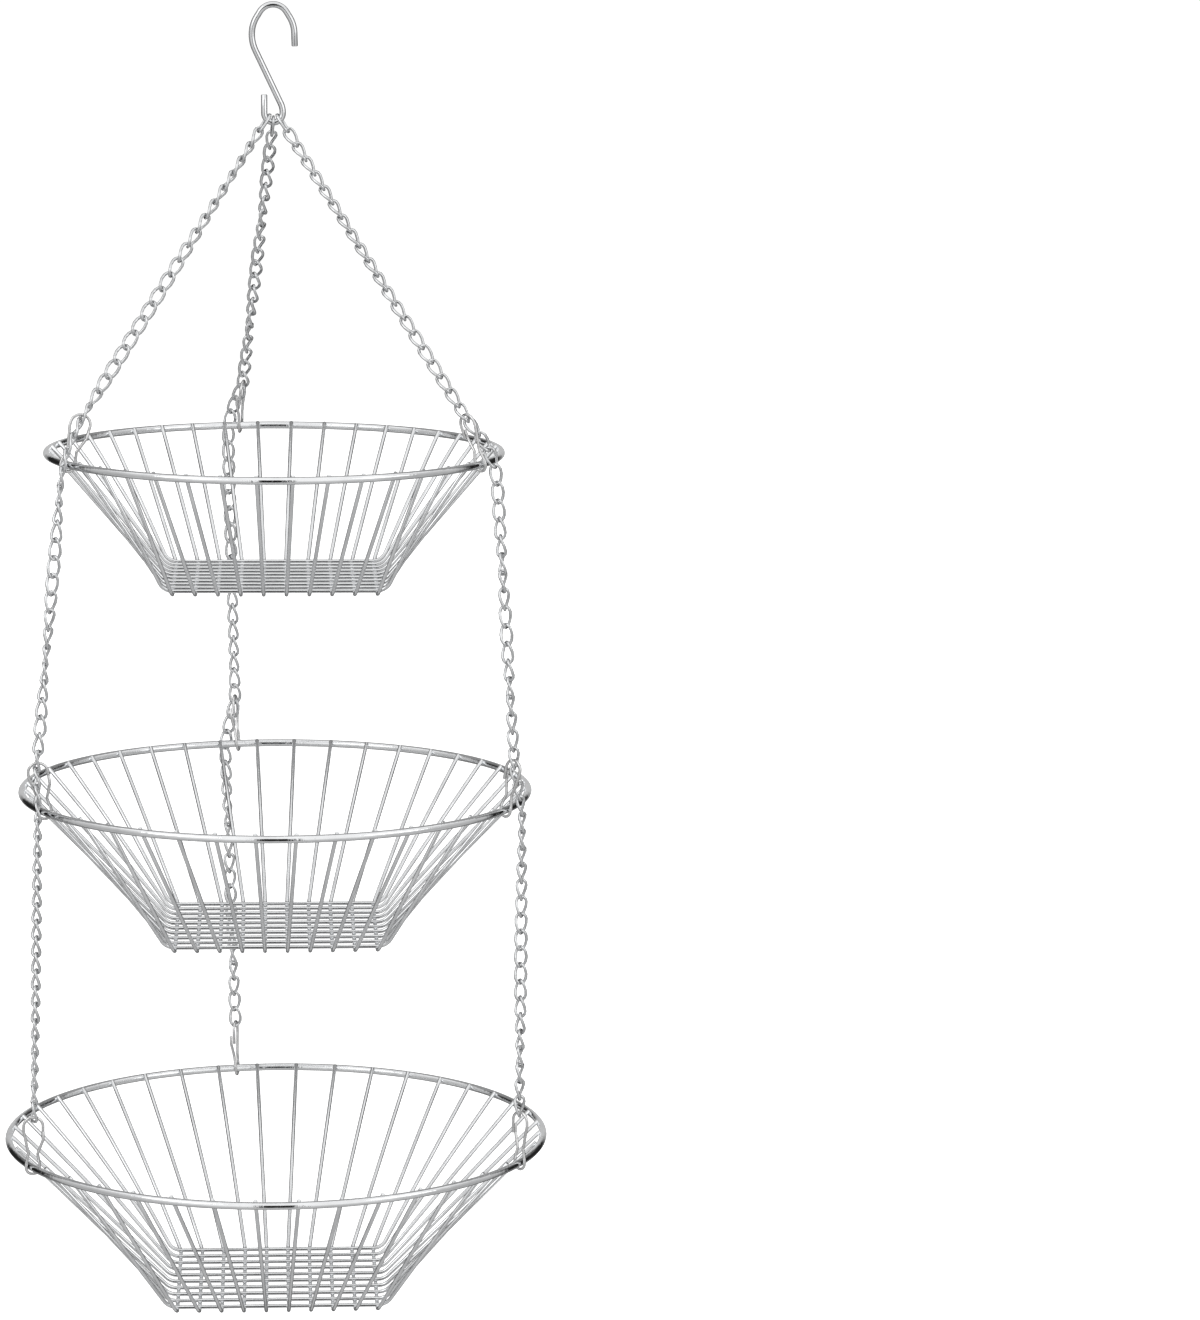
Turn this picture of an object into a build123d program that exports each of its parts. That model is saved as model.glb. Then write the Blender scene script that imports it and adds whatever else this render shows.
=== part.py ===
from build123d import *
import os
from collections import namedtuple
from math import atan2, ceil, cos, degrees, hypot, pi, radians, sin, sqrt, tan

# Hanging fruit basket: three wire baskets, one above the other, on three chains from one S-hook.
# Millimetres, +Z up. The origin is the inner top of the hook's upper bend, where it hangs.

# Driving dimensions
hook_wire = 3.7
rim_wire = 4.4
basket_wire = 2.3
chain_wire = 1.8
clip_wire = 1.7

# One row for each basket: outer width of its rim, height of the rim's centre below the origin,
# and depth from the rim's centre down to the centre of the upper floor wires.
Tier = namedtuple("Tier", "name rim_width rim_drop depth")
top_rim_width = 267
top_rim_drop = 256
top_depth = 73
middle_rim_width = 300
middle_rim_drop = 455.5
middle_depth = 82
bottom_rim_width = 320
bottom_rim_drop = 664
bottom_depth = 89
tiers = (
    Tier("top", top_rim_width, top_rim_drop, top_depth),
    Tier("middle", middle_rim_width, middle_rim_drop, middle_depth),
    Tier("bottom", bottom_rim_width, bottom_rim_drop, bottom_depth),
)

# Basket wires: ten each way, on a straight pitch across the floor and even steps round the rim
wires_each_way = 10
floor_pitch = 13
floor_bend_radius = 9
floor_run_past = 5
weld_depth = 0.4
wire_end_past_rim = 1.2

# Hook, measured to the centre of its wire
hook_eye_radius = 11.7
hook_tip_drop = 22
hook_shank_top_drop = 21
hook_shank_foot_drop = 57
hook_foot_drop = 65.4
hook_end_drop = 49.5
hook_shank_bend_radius = 12

# Chain
link_pitch = 10
link_width = 8.2
link_end_flat_share = 0.24
link_gap = 0.22
link_twist = 45
chain_angles = {"left": 207, "right": 333, "rear": 99}
chain_facings = {"left": 226, "right": 296, "rear": 95}
seat_turns = {"left": -68, "right": 68, "rear": 0}
seat_gap = 0.3
seat_pull_share = 0.95
arch_gap = 0.6
end_link_side_gap = 0.5
end_link_corner_share = 0.45
chain_past_rim = 7.8
chain_beside_clip = 7
chain_turn_radius = 50

# Clips, from the centre of the rim up to the centre of the wire at the arch
clip_reach = 30
clip_arch_radius = 5.6
clip_waist_width = 5.2
clip_waist_height = 8.5
clip_shoulder_height = 22
clip_latch_height = 17
clip_latch_lap = 5
clip_turn = -20
clip_gap = 0.3

# Smoothness of the drawn wires
rim_sides = 6
wire_sides = 6
hook_sides = 8
clip_sides = 4
link_sides = 4
coarse_step = 46
fine_step = 24
least_turn = 1e-3
least_run = 1e-6
least_axis = 1e-9
chord_tries = 60


def corner_reach(wire, sides):
    """Distance from a wire's centre to the corners of a many-sided section of the same area."""
    return wire / 2 * sqrt(2 * pi / (sides * sin(2 * pi / sides)))


def turned(direction, before, after):
    """A direction square to one run, carried round the bend to the next run."""
    axis = before.cross(after)
    if axis.length < least_axis:
        return direction
    axis = axis.normalized()
    return axis * direction.dot(axis) + axis.cross(after) * direction.dot(axis.cross(before))


def rounded(corners, radii, step):
    """The corners of a path with each inner one replaced by points along an arc of its radius."""
    path = [corners[0]]
    for before, corner, after, radius in zip(corners, corners[1:], corners[2:], radii):
        back = (before - corner).normalized()
        ahead = (after - corner).normalized()
        turn = 180 - back.get_angle(ahead)
        reach = radius * tan(radians(turn) / 2)
        centre = corner + (back + ahead).normalized() * hypot(reach, radius)
        pieces = max(1, ceil(turn / step))
        side = (corner + back * reach - centre).normalized()
        other = (corner + ahead * reach - centre).normalized()
        across = (other - side * other.dot(side)).normalized()
        # the arc's chords are pushed out so that they straddle it
        outer = radius / cos(radians(turn / pieces) / 2)
        path.append(centre + side * radius)
        for k in range(pieces):
            angle = radians(turn) * (k + 1 / 2) / pieces
            path.append(centre + side * (outer * cos(angle)) + across * (outer * sin(angle)))
        path.append(centre + other * radius)
    path.append(corners[-1])
    return merged(path)


def merged(path):
    """The path without points that repeat or lie on a straight run."""
    kept = [path[0]]
    for here, after in zip(path[1:], path[2:]):
        ahead = after - here
        back = here - kept[-1]
        if min(back.length, ahead.length) > least_run and back.get_angle(ahead) > least_turn:
            kept.append(here)
    kept.append(path[-1])
    return kept


def solid_of(faces):
    return Solid(Shell(faces))


def flat_face(*corners):
    return Face(Wire.make_polygon(corners, close=True))


def wire_along(path, wire, sides, flat_towards, closed=False):
    """A wire with a many-sided section, mitred at each point of its path.

    One of its flats faces flat_towards at the first run.
    """
    count = len(path)
    runs = [(path[(i + 1) % count] - path[i]).normalized() for i in range(count if closed else count - 1)]
    facing = (flat_towards - runs[0] * flat_towards.dot(runs[0])).normalized()
    facings = [facing]
    for before, after in zip(runs, runs[1:]):
        facings.append(turned(facings[-1], before, after))
    reach = corner_reach(wire, sides)
    rings = []
    for i, point in enumerate(path):
        run = runs[i % len(runs)] if i < len(runs) else runs[-1]
        facing = facings[i] if i < len(facings) else facings[-1]
        if closed:
            plane = (runs[i - 1] + run).normalized()
        elif 0 < i < count - 1:
            plane = (runs[i - 1] + run).normalized()
        else:
            plane = run
        across = run.cross(facing)
        ring = []
        for k in range(sides):
            angle = 2 * pi * (k + 1 / 2) / sides
            offset = facing * (reach * cos(angle)) + across * (reach * sin(angle))
            ring.append(point + offset - run * (offset.dot(plane) / run.dot(plane)))
        rings.append(ring)
    pairs = list(zip(rings, rings[1:]))
    if closed:
        pairs.append((rings[-1], rings[0]))
    faces = []
    for ring, after in pairs:
        for k in range(sides):
            n = (k + 1) % sides
            faces.append(flat_face(ring[k], ring[n], after[n], after[k]))
    if not closed:
        faces.append(flat_face(*reversed(rings[0])))
        faces.append(flat_face(*rings[-1]))
    return solid_of(faces)


def link_solid(pitch, twist):
    """One chain link: two flat ends turned apart by the twist, with its sides widest halfway.

    It stands along Z with its centre at the origin and faces Y.
    """
    half_length = (pitch + link_gap + chain_wire) / 2
    half_width = (link_width - chain_wire) / 2
    half_flat = link_end_flat_share * link_width
    places = (
        (half_flat, half_length, -twist),
        (half_width, 0, 0),
        (half_flat, -half_length, twist),
        (-half_flat, -half_length, twist),
        (-half_width, 0, 0),
        (-half_flat, half_length, -twist),
    )
    path = [Vector(x, 0, z).rotate(Axis.Z, turn) for x, z, turn in places]
    normals = [Vector(0, 1, 0).rotate(Axis.Z, turn) for _, _, turn in places]
    half = corner_reach(chain_wire, link_sides) / sqrt(2)
    rings = []
    for i, point in enumerate(path):
        back = (point - path[i - 1]).normalized()
        ahead = (path[(i + 1) % len(path)] - point).normalized()
        run = (back + ahead).normalized()
        normal = (normals[i] - run * normals[i].dot(run)).normalized()
        across = run.cross(normal)
        stretch = 1 / cos(radians(back.get_angle(ahead)) / 2)
        rings.append(
            [
                point + normal * (half * n) + across * (half * a * stretch)
                for n, a in ((1, 1), (-1, 1), (-1, -1), (1, -1))
            ]
        )
    faces = []
    for ring, after in zip(rings, rings[1:] + rings[:1]):
        for k in range(len(ring)):
            n = (k + 1) % len(ring)
            faces.append(flat_face(ring[k], ring[n], after[n]))
            faces.append(flat_face(ring[k], after[n], after[k]))
    return solid_of(faces)


def end_link_solid(pitch):
    """The untwisted link that hangs on the hook, with room for the hook's wire."""
    half_length = (pitch + link_gap + chain_wire) / 2
    half_width = hook_wire / 2 + end_link_side_gap + chain_wire / 2
    corner = half_width * end_link_corner_share
    path = [
        Vector(half_width - corner, 0, half_length),
        Vector(half_width, 0, half_length - corner),
        Vector(half_width, 0, corner - half_length),
        Vector(half_width - corner, 0, -half_length),
        Vector(corner - half_width, 0, -half_length),
        Vector(-half_width, 0, corner - half_length),
        Vector(-half_width, 0, half_length - corner),
        Vector(corner - half_width, 0, half_length),
    ]
    return wire_along(path, chain_wire, link_sides, Vector(0, 1, 0), closed=True)


def link_at(link, bottom, top, facing):
    """A link moved so that it runs between two joints of the chain and faces a direction."""
    along = (top - bottom).normalized()
    normal = (facing - along * facing.dot(along)).normalized()
    across = normal.cross(along)
    plane = Plane(origin=(bottom + top) / 2, x_dir=across, z_dir=along)
    return link.moved(plane.location)


def heading(angle):
    """The level direction at an angle in plan."""
    return Vector(cos(radians(angle)), sin(radians(angle)), 0)


def walked(path, count):
    """Joints along a path that cut it into a count of equal chords."""
    low = 0
    high = sum((b - a).length for a, b in zip(path, path[1:])) / count * 2
    for _ in range(chord_tries):
        chord = (low + high) / 2
        joints = chords(path, chord, count)
        if joints:
            low = chord
        else:
            high = chord
    return chords(path, low, count)[:-1] + [path[-1]]


def chords(path, chord, count):
    """The joints that a chord steps off along a path, or None where the path ends first."""
    joints = [path[0]]
    i = 0
    for _ in range(count):
        while i + 1 < len(path) and (path[i + 1] - joints[-1]).length < chord:
            i += 1
        if i + 1 == len(path):
            return None
        start, end = path[i], path[i + 1]
        run = end - start
        gap = start - joints[-1]
        a = run.dot(run)
        b = run.dot(gap)
        c = gap.dot(gap) - chord * chord
        share = (-b + sqrt(max(b * b - a * c, 0))) / a
        joints.append(start + run * share)
    return joints


def hook_solid():
    """The S-hook: a wide eye above, a sloping shank and a narrow foot that holds the chains."""
    top = hook_wire / 2
    corners = [
        Vector(hook_eye_radius, 0, -hook_tip_drop),
        Vector(hook_eye_radius, 0, top),
        Vector(-hook_eye_radius, 0, top),
        Vector(-hook_eye_radius, 0, -hook_shank_top_drop),
        Vector(foot_radius, 0, -hook_shank_foot_drop),
        Vector(foot_radius, 0, -hook_foot_drop),
        Vector(-foot_radius, 0, -hook_foot_drop),
        Vector(-foot_radius, 0, -hook_end_drop),
    ]
    radii = [
        hook_eye_radius,
        hook_eye_radius,
        hook_shank_bend_radius,
        hook_shank_bend_radius,
        foot_radius,
        foot_radius,
    ]
    return wire_along(rounded(corners, radii, fine_step), hook_wire, hook_sides, Vector(1, 0, 0))


def rim_solid(tier):
    """A rim: one straight run for each wire end, so that every end meets the middle of a run."""
    steps = 4 * wires_each_way
    radius = rim_radius(tier) / cos(pi / steps)
    path = [heading(360 * k / steps) * radius - up * tier.rim_drop for k in range(steps)]
    inward = up - heading(180 / steps)
    return wire_along(path, rim_wire, rim_sides, inward, closed=True)


def rim_radius(tier):
    return (tier.rim_width - rim_wire) / 2


def wire_end(tier, angle, corner):
    """Where a wire that rises from a floor corner ends, just inside and above the rim."""
    rim = heading(angle) * rim_radius(tier) - up * tier.rim_drop
    along_rim = heading(angle + 90)
    seat = (rim_wire + basket_wire) / 2 - weld_depth
    end = rim
    for _ in range(3):
        rise = (end - corner).normalized()
        out = rise.cross(along_rim)
        if out.Z < 0:
            out = -out
        end = rim + out.normalized() * seat
    return end + rise * wire_end_past_rim


def basket_wires(tier, turn, lowered):
    """The parallel wires of one direction, each bent from rim to rim in one length."""
    level = -tier.rim_drop - tier.depth - lowered
    reach = floor_half + floor_run_past
    step = 90 / wires_each_way
    wires = []
    for k in range(wires_each_way):
        place = k - (wires_each_way - 1) / 2
        right = Vector(reach, place * floor_pitch, level).rotate(Axis.Z, turn)
        left = Vector(-reach, place * floor_pitch, level).rotate(Axis.Z, turn)
        corners = [
            wire_end(tier, turn + place * step, right),
            right,
            left,
            wire_end(tier, turn + 180 - place * step, left),
        ]
        path = rounded(corners, [floor_bend_radius, floor_bend_radius], coarse_step)
        wires.append(wire_along(path, basket_wire, wire_sides, up))
    return wires


def clip_solid(tier, name, arch):
    """A spring clip: one wire round the rim, up both sides and over, lapped where it latches."""
    angle = chain_angles[name]
    foot = heading(angle) * rim_radius(tier) - up * tier.rim_drop
    axis = (arch - foot).normalized()
    out = heading(angle + clip_turn)
    across = (out - axis * axis.dot(out)).normalized()
    beside = axis.cross(across)
    lean = radians(abs(clip_turn))
    hook_radius = corner_reach(rim_wire, rim_sides) / cos(lean) + clip_gap + clip_wire / 2 * (1 + sin(lean))
    waist = clip_waist_width / 2
    reach = (arch - foot).length
    lap = clip_wire + clip_gap
    corners = [
        (-clip_arch_radius, clip_latch_height + clip_latch_lap, lap),
        (-clip_arch_radius, clip_latch_height, lap),
        (-waist, clip_waist_height, lap / 2),
        (-hook_radius, hook_radius / 2, 0),
        (-hook_radius, -hook_radius, 0),
        (hook_radius, -hook_radius, 0),
        (hook_radius, hook_radius / 2, 0),
        (waist, clip_waist_height, 0),
        (clip_arch_radius, clip_shoulder_height, 0),
        (clip_arch_radius, reach, 0),
        (-clip_arch_radius, reach, 0),
        (-clip_arch_radius, clip_latch_height, 0),
    ]
    small = hook_radius / 2
    radii = [small, small, small, hook_radius, hook_radius, small, small, small]
    radii += [clip_arch_radius, clip_arch_radius]
    points = [foot + across * u + axis * v + beside * w for u, v, w in corners]
    return wire_along(rounded(points, radii, coarse_step), clip_wire, clip_sides, across)


def nearest_turn(start, goal):
    """The facing angle like the goal, or half a turn from it, that lies nearest to the start."""
    while goal - start > 90:
        goal -= 180
    while start - goal > 90:
        goal += 180
    return goal


def span_links(joints, facings):
    """A run of links between joints, each turned to its facing angle."""
    pitch = (joints[1] - joints[0]).length
    link = link_solid(pitch, link_twist)
    links = []
    for top, bottom, facing in zip(joints, joints[1:], facings):
        links.append(link_at(link, bottom, top, heading(facing)))
    return links


def spread(first, middle, last, count):
    """Facing angles that ease from a first one, through a middle one, to a last one."""
    middle = nearest_turn(first, middle)
    last = nearest_turn(middle, last)
    facings = []
    for k in range(count):
        share = (k + 1) / (count + 1)
        straight = first + (last - first) * share
        facings.append(straight + (middle - (first + last) / 2) * sin(pi * share) ** 2)
    return facings


def chain(name):
    """One chain: its links in three spans, and the arch point of the clip at each rim."""
    angle = chain_angles[name]
    out = heading(angle)
    aside = heading(angle + 90)
    clip_facing = angle + clip_turn
    spans = []
    arches = []
    start = None
    for i, tier in enumerate(tiers):
        rim = out * rim_radius(tier) - up * tier.rim_drop
        if i == 0:
            turn = radians(seat_turns[name])
            hook_run = Vector(cos(turn), 0, sin(turn))
            hook_middle = foot_centre + Vector(sin(turn), 0, -cos(turn)) * foot_radius
            pull = rim - hook_middle
            pull = (pull - hook_run * pull.dot(hook_run)).normalized()
            seat = hook_middle - pull * seat_reach
            source = seat
        else:
            source = start
        drop = (rim - source).normalized()
        past = (out - drop * drop.dot(out)).normalized() * chain_past_rim
        last = i == len(tiers) - 1
        passing = rim if last else rim + past
        back = (source - passing).normalized()
        offset = 0 if last else chain_past_rim
        arch = passing + back * sqrt(clip_reach**2 - offset**2)
        rest = corner_reach(clip_wire, clip_sides) + arch_gap
        link_stack = link_gap / 2 + chain_wire / 2 + corner_reach(chain_wire, link_sides)
        above_joint = rest - link_gap / 2 if last else rest + link_stack
        bottom = arch - back * above_joint
        top = bottom + back * link_pitch
        if i == 0:
            first = seat + (top - seat).normalized() * ((link_pitch + link_gap + chain_wire) / 2)
            towards = (top - first).normalized()
            lower = first + towards * (link_pitch / 2)
            upper = first - towards * (link_pitch / 2)
            across = hook_run.cross(towards)
            facing = across.cross(towards)
            links = [link_at(end_link_solid(link_pitch), lower, upper, facing)]
            path = [lower, top]
            end_flat = across.cross(towards).normalized()
            width = end_flat.rotate(Axis((0, 0, 0), -towards), link_twist)
            normal = width.cross(-towards)
            first_facing = degrees(atan2(normal.Y, normal.X))
        else:
            links = []
            path = rounded([previous, start, top], [chain_turn_radius], fine_step)
            first_facing = clip_facing
        length = sum((b - a).length for a, b in zip(path, path[1:]))
        count = round(length / link_pitch)
        joints = walked(path, count)
        facings = spread(first_facing, chain_facings[name], clip_facing, count)
        links += span_links(joints, facings)
        links += span_links([top, bottom], [clip_facing])
        spans.append(links)
        arches.append(arch)
        previous = bottom
        start = passing + aside * chain_beside_clip
    return spans, arches


def save(name, solids):
    export_step(Compound(children=list(solids)) if len(solids) > 1 else solids[0], f"parts/{name}.step")


up = Vector(0, 0, 1)
floor_half = floor_pitch * (wires_each_way - 1) / 2
foot_spread = radians(abs(seat_turns["left"]))
seat_reach = hook_wire / 2 + seat_gap + chain_wire / 2
foot_radius = (chain_wire + link_gap + seat_reach * seat_pull_share) / sin(foot_spread)
foot_centre = up * (foot_radius - hook_foot_drop)

os.makedirs("parts", exist_ok=True)
save("hook", [hook_solid()])
for tier in tiers:
    save(f"{tier.name}_rim", [rim_solid(tier)])
    save(f"{tier.name}_crosswise_wires", basket_wires(tier, 0, 0))
    save(f"{tier.name}_lengthwise_wires", basket_wires(tier, 90, basket_wire - weld_depth))
for name in chain_angles:
    spans, arches = chain(name)
    for tier, links, arch in zip(tiers, spans, arches):
        save(f"{tier.name}_{name}_clip", [clip_solid(tier, name, arch)])
    for place, links in zip(("upper", "middle", "lower"), spans):
        save(f"{place}_{name}_chain", links)
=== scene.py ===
"""Looks of a hanging fruit basket: three chromed wire baskets on three twisted-link chains and an S-hook."""

import math

import bmesh
import bpy
import numpy as np
from bpy.props import FloatProperty, FloatVectorProperty, IntProperty, PointerProperty
from mathutils import Matrix, Vector


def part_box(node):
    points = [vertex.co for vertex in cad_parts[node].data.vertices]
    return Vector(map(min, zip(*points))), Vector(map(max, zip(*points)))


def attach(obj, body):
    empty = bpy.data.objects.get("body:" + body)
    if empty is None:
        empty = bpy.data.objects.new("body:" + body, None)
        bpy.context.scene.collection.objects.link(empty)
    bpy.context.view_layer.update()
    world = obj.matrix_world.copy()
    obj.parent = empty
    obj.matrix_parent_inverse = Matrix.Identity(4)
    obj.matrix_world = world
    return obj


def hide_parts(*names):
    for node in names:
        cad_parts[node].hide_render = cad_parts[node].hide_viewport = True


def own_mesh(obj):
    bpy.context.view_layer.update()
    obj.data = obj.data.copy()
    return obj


bl_info = {
    "name": "Hanging fruit basket",
    "version": (1, 0, 0),
    "blender": (4, 5, 0),
    "location": "3D View > Sidebar > Fruit basket",
    "description": "Makes the rims, wires, hook, chains and clips of a hanging fruit basket",
    "category": "Object",
}

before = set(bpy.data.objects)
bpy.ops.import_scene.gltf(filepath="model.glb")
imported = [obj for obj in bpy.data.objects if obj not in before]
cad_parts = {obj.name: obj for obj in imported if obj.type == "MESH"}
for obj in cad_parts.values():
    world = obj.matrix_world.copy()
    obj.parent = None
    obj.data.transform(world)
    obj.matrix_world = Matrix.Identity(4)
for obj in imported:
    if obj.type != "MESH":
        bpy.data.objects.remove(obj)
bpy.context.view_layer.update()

MM = 0.001
LENGTH = {"unit": "LENGTH", "precision": 4}
UP = Vector((0, 0, 1))
SIDES = ("left", "right", "rear")
TIERS = ("top", "middle", "bottom")
SPANS = ("upper", "middle", "lower")
TIER_BODIES = {"top": "top_tier", "middle": "middle_tier", "bottom": "bottom_tier"}
SPAN_BODIES = {"upper": "hanger", "middle": "top_tier", "lower": "middle_tier"}

# What the pieces share with the solids: the same sizes and the same rules
CHAIN_ANGLES = {"left": 207, "right": 333, "rear": 99}
SEAT_TURNS = {"left": -68, "right": 68, "rear": 0}
TIER_DEPTHS = {"top": 73 * MM, "middle": 82 * MM, "bottom": 89 * MM}
WIRES_EACH_WAY = 10
WELD_DEPTH = 0.4 * MM
FLOOR_RUN_PAST = 5 * MM
SEAT_GAP = 0.3 * MM
SEAT_PULL_SHARE = 0.95
LINK_GAP = 0.22 * MM
CHAIN_PAST_RIM = 7.8 * MM
CHAIN_BESIDE_CLIP = 7 * MM
CLIP_TURN = -20
CLIP_GAP = 0.3 * MM

# What only the pieces here have: wires that end a little past the rim, the gap between a clip and the round
# rim, beads at this share of the way from the rim's centre to the wire's, and cut ends thinned to a share
WIRE_END_PAST_RIM = 0.5 * MM
CLIP_GRIP_GAP = 0.42 * MM
BEAD_PLACE = 0.52
CUT_END_SHARE = 0.8
WIRE_CHAMFER = 0.25 * MM
HOOK_CHAMFER = 0.45 * MM
CLIP_CHAMFER = 0.2 * MM

# The solid of a twisted link has this many corners, and that of a plain link on the hook has more
TWISTED_LINK_CORNERS = 24

# Turns of the links beyond those of the solids, as in the photograph: stops of share of the span from its
# top, and degrees. A link looks the same after half a turn, so a span ends on any number of half turns.
SPAN_TURNS = {
    "upper_left_chain": (
        (0, 0), (0.1, -20), (0.2, -5), (0.32, 42), (0.5, 112), (0.6, 132), (0.75, 117), (0.88, 80), (1, 0),
    ),
    "upper_right_chain": ((0, 0), (0.1, -30), (0.35, -40), (0.55, -36), (0.68, -12), (0.8, 5), (1, 0)),
    "upper_rear_chain": (
        (0, 0), (0.05, 10), (0.1, 34), (0.2, 72), (0.35, 113), (0.55, 183), (0.78, 266), (1, 360),
    ),
    "middle_left_chain": (
        (0, 0), (0.19, 23), (0.3, -10), (0.42, -47), (0.6, -110),
        (0.7, -151), (0.88, -240), (0.94, -222), (1, -180),
    ),
    "middle_right_chain": (
        (0, 0), (0.12, 20), (0.25, 45), (0.434, 119), (0.613, 211), (0.803, 310), (0.93, 365), (1, 360),
    ),
    "middle_rear_chain": ((0, 0), (0.4, 0), (0.6, 40), (0.9, 45), (1, 0)),
    "lower_left_chain": ((0, 0), (0.5, 18), (1, 0)),
    "lower_right_chain": (
        (0, 0), (0.06, -15), (0.186, -49), (0.4, -5), (0.544, 30),
        (0.64, 54), (0.78, 107), (0.93, 158), (1, 180),
    ),
    "lower_rear_chain": (
        (0, 0), (0.1, 5), (0.25, 45), (0.385, 92), (0.585, 182), (0.815, 262), (0.885, 304), (1, 360),
    ),
}

# The plating: where its noise turns into specks, haze and patches of pits, and how much they show
SPECK_NOISE = (0.58, 0.72)
HAZE_NOISE = (0.35, 0.75)
PATCH_NOISE = (0.4, 0.7)
HAZE_SHARE = 0.35
WEAR_ROUGHNESS = 0.22
CLOUD_HEIGHT = 0.6
RIPPLE_STRENGTH = 0.35

# What the chrome mirrors: pale air, a dark ring behind the basket and a dark card in front of it. Each
# part changes along one axis of the way it is seen: the axis, where the change starts and ends, and the
# part's value at each end.
AIR_PARTS = {
    "rising": ("Z", -0.8, 0.1, 0.5, 1.0),
    "backdrop": ("Y", 0.8, 0.95, 1.0, 0.55),
    "sides": ("aside", 0.6, 0.95, 1.0, 0.55),
    "ring_start": ("Y", 0.27, 0.4, 0.0, 1.0),
    "ring_end": ("Y", 0.95, 0.88, 0.0, 1.0),
    "low_ring": ("Z", -0.5, -0.25, 0.34, 0.02),
    "high_ring": ("Z", 0.25, 0.6, 0.02, 0.32),
    "beside_card": ("aside", 0.13, 0.16, 0.0, 1.0),
    "above_card": ("Z", 0.4, 0.46, 0.0, 1.0),
    "below_card": ("Z", -0.62, -0.68, 0.0, 1.0),
    "behind_card": ("Y", -0.2, 0.0, 0.0, 1.0),
}
CARD_TONE = 0.02
AIR_TO_CAMERA = 1.05

# Lamps: where each stands, how wide it is and its watts, and the point that both face
LAMPS = {
    "key": {"place": (-1.7, -1.6, 1.0), "size": 1.5, "power": 5.5},
    "fill": {"place": (1.9, -1.3, 0.4), "size": 1.3, "power": 3.5},
}
LAMP_AIM = (0, 0, -0.4)


class WireSizes(bpy.types.PropertyGroup):
    """Thicknesses of the wires, and how finely they are drawn."""

    rim: FloatProperty(name="Rim wire", description="Thickness of the rims", default=4.4 * MM, **LENGTH)
    basket: FloatProperty(
        name="Basket wire", description="Thickness of the wires of the baskets", default=2.3 * MM, **LENGTH
    )
    hook: FloatProperty(name="Hook wire", description="Thickness of the S-hook", default=3.7 * MM, **LENGTH)
    chain: FloatProperty(name="Chain wire", description="Thickness of the links", default=1.8 * MM, **LENGTH)
    clip: FloatProperty(name="Clip wire", description="Thickness of the clips", default=1.7 * MM, **LENGTH)
    around: IntProperty(
        name="Faces round a wire",
        description="Faces round the rims, wires, hook and clips",
        default=14,
        min=6,
    )
    rim_steps: IntProperty(name="Steps round a rim", description="Points along each rim", default=144, min=12)
    bend_steps: IntProperty(
        name="Steps in a bend", description="Points along each bend of a wire", default=9, min=2
    )


class BasketSizes(bpy.types.PropertyGroup):
    """Sizes that the three baskets share."""

    floor_pitch: FloatProperty(
        name="Floor pitch", description="Distance from one floor wire to the next", default=13 * MM, **LENGTH
    )
    floor_bend: FloatProperty(
        name="Floor bend",
        description="Radius of each wire's bend at the edge of the floor",
        default=9 * MM,
        **LENGTH,
    )
    bead_width: FloatProperty(
        name="Weld bead",
        description="Width of the small weld bead between a wire and the rim",
        default=2.5 * MM,
        **LENGTH,
    )
    bead_flatness: FloatProperty(
        name="Bead flatness",
        description="Thickness of a bead as a share of its width",
        default=0.5,
        subtype="FACTOR",
    )


class HookSizes(bpy.types.PropertyGroup):
    """Sizes of the S-hook, to the centre of its wire."""

    crown_half_width: FloatProperty(
        name="Crown half width", description="Half the flat of the eye's top", default=5 * MM, **LENGTH
    )
    crown_bend: FloatProperty(
        name="Crown bend", description="Radius of the bends at the eye's top", default=8.8 * MM, **LENGTH
    )
    shoulder_reach: FloatProperty(
        name="Shoulder reach", description="Half the width of the eye", default=11.9 * MM, **LENGTH
    )
    shoulder_drop: FloatProperty(
        name="Shoulder drop", description="Depth of the eye's shoulders", default=9.3 * MM, **LENGTH
    )
    shoulder_bend: FloatProperty(
        name="Shoulder bend", description="Radius of the eye's shoulders", default=18 * MM, **LENGTH
    )
    tip_reach: FloatProperty(
        name="Tip reach", description="How far the open tip stands out", default=12.3 * MM, **LENGTH
    )
    tip_drop: FloatProperty(name="Tip drop", description="Depth of the open tip", default=22 * MM, **LENGTH)
    back_reach: FloatProperty(
        name="Back reach", description="How far the back stands out", default=12.5 * MM, **LENGTH
    )
    back_drop: FloatProperty(
        name="Back drop", description="Depth of the back's bend", default=19.6 * MM, **LENGTH
    )
    back_bend: FloatProperty(
        name="Back bend", description="Radius of the back's bend", default=21 * MM, **LENGTH
    )
    shank_foot_drop: FloatProperty(
        name="Shank foot drop",
        description="Depth at which the shank meets the foot",
        default=57 * MM,
        **LENGTH,
    )
    foot_drop: FloatProperty(name="Foot drop", description="Depth of the foot", default=65.4 * MM, **LENGTH)
    end_drop: FloatProperty(
        name="End drop", description="Depth of the short end", default=49.5 * MM, **LENGTH
    )
    shank_bend: FloatProperty(
        name="Shank bend", description="Radius of the bend above the foot", default=12 * MM, **LENGTH
    )


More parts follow.
